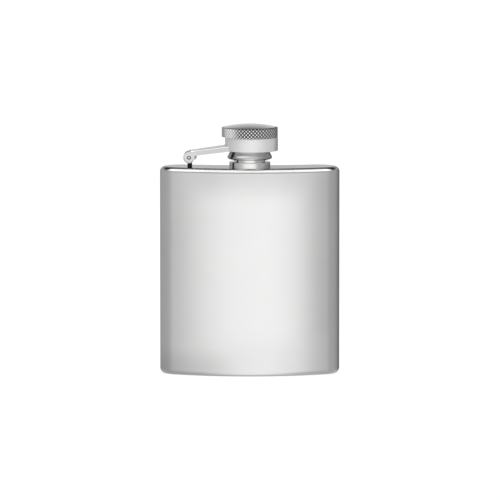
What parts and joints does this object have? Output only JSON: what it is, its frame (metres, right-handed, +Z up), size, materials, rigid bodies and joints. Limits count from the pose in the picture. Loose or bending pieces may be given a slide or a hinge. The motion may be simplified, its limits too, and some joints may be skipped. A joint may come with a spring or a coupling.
{
  "type": "hip flask",
  "caption": "Kidney-section polished steel hip flask with a knurled screw cap kept on by a swivel collar and a hinged swing arm.",
  "frame": {"origin": "on the flat of the foot, under the axis of the neck", "axes": "+Z up along the neck; the convex front faces -Y, the concave back +Y; the hinge is at -X"},
  "size_m": [0.07, 0.0234, 0.098],
  "materials": {
    "satin_steel": "satin-polished stainless sheet",
    "polished_steel": "bright-polished turned stainless steel",
    "knurled_steel": "turned stainless steel with a diamond knurl",
    "dark_steel": "dark polished steel",
    "seal": "soft pale food-safe sealing disc"
  },
  "bodies": {
    "flask": {"body_sleeve": "satin_steel", "top_plate": "satin_steel", "base_plate": "satin_steel", "neck_boss": "polished_steel", "neck_tube": "polished_steel", "hinge_post": "dark_steel"},
    "swing_arm": {"arm": "polished_steel", "swivel_collar": "satin_steel", "hinge_rivet": "polished_steel"},
    "cap": {"cap_knob": "knurled_steel", "cap_socket": "polished_steel", "cap_gasket": "seal"}
  },
  "joints": [
    {"name": "arm_swing", "type": "hinge", "parent": "flask", "child": "swing_arm", "pos_m": [-0.0236, 0, 0.0851], "axis": [0, -1, 0], "range_deg": [0, 140]},
    {"name": "cap_turn", "type": "hinge", "parent": "swing_arm", "child": "cap", "pos_m": [0, 0, 0.0947], "axis": [0, 0, 1], "continuous": true}
  ]
}
